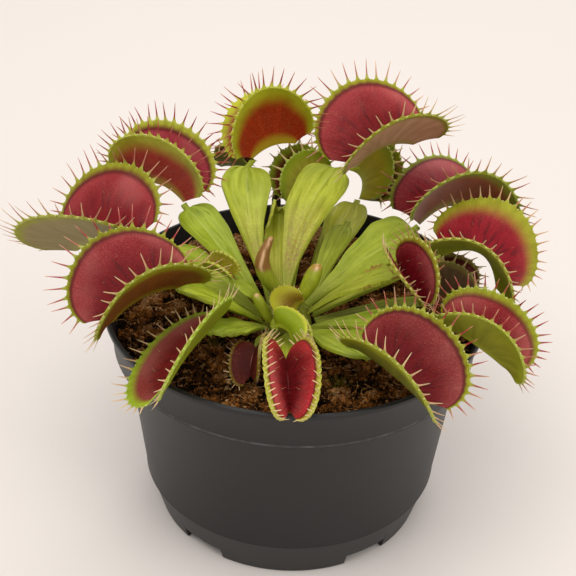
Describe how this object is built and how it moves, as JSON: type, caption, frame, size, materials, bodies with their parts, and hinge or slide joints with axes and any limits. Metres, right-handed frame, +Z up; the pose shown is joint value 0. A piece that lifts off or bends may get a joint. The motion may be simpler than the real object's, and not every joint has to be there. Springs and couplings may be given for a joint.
{
  "type": "potted venus flytrap",
  "caption": "Rosette of winged leaves ending in toothed two-lobed traps, growing in a low round plastic pot filled with peat.",
  "frame": {"origin": "centre of the flat pad under the pot's floor, on the pot's axis, at the height the pot stands on", "axes": "+Z up along the pot's axis, +X to the right and -Y towards the front, where the picture was taken from"},
  "size_m": [0.1746, 0.1434, 0.1399],
  "materials": {
    "pot_plastic": "matt moulded charcoal plastic",
    "peat": null,
    "crown": null,
    "leaf_blade": null,
    "trap_lobe": null,
    "bud": null,
    "dead_leaf": null
  },
  "bodies": {
    "root": {"pot": "pot_plastic", "soil": "peat", "crown": "crown", "leaf_01_blade": "leaf_blade", "leaf_01_trap": "trap_lobe", "leaf_02_blade": "leaf_blade", "leaf_02_trap": "trap_lobe", "leaf_03_blade": "leaf_blade", "leaf_03_trap": "trap_lobe", "leaf_04_blade": "leaf_blade", "leaf_04_trap": "trap_lobe", "leaf_05_blade": "leaf_blade", "leaf_05_trap": "trap_lobe", "leaf_06_blade": "leaf_blade", "leaf_06_trap": "trap_lobe", "leaf_07_blade": "leaf_blade", "leaf_07_trap": "trap_lobe", "leaf_08_blade": "leaf_blade", "leaf_08_trap": "trap_lobe", "leaf_09_blade": "leaf_blade", "leaf_09_trap": "trap_lobe", "leaf_10_blade": "leaf_blade", "leaf_10_trap": "trap_lobe", "leaf_11_blade": "leaf_blade", "leaf_11_trap": "trap_lobe", "leaf_12_blade": "leaf_blade", "leaf_12_trap": "trap_lobe", "leaf_13_blade": "leaf_blade", "leaf_13_trap": "trap_lobe", "leaf_14_blade": "leaf_blade", "leaf_14_trap": "trap_lobe", "leaf_15_blade": "leaf_blade", "leaf_15_trap": "trap_lobe", "leaf_16_blade": "leaf_blade", "leaf_16_trap": "trap_lobe", "leaf_17_blade": "leaf_blade", "leaf_17_trap": "trap_lobe", "leaf_18_blade": "leaf_blade", "leaf_18_trap": "trap_lobe", "leaf_19_blade": "leaf_blade", "leaf_19_trap": "trap_lobe", "leaf_20_blade": "leaf_blade", "leaf_20_trap": "trap_lobe", "leaf_21_blade": "leaf_blade", "young_leaf": "leaf_blade", "bud_1": "bud", "bud_2": "bud", "bud_3": "bud", "dead_leaf": "dead_leaf"}
  },
  "joints": []
}
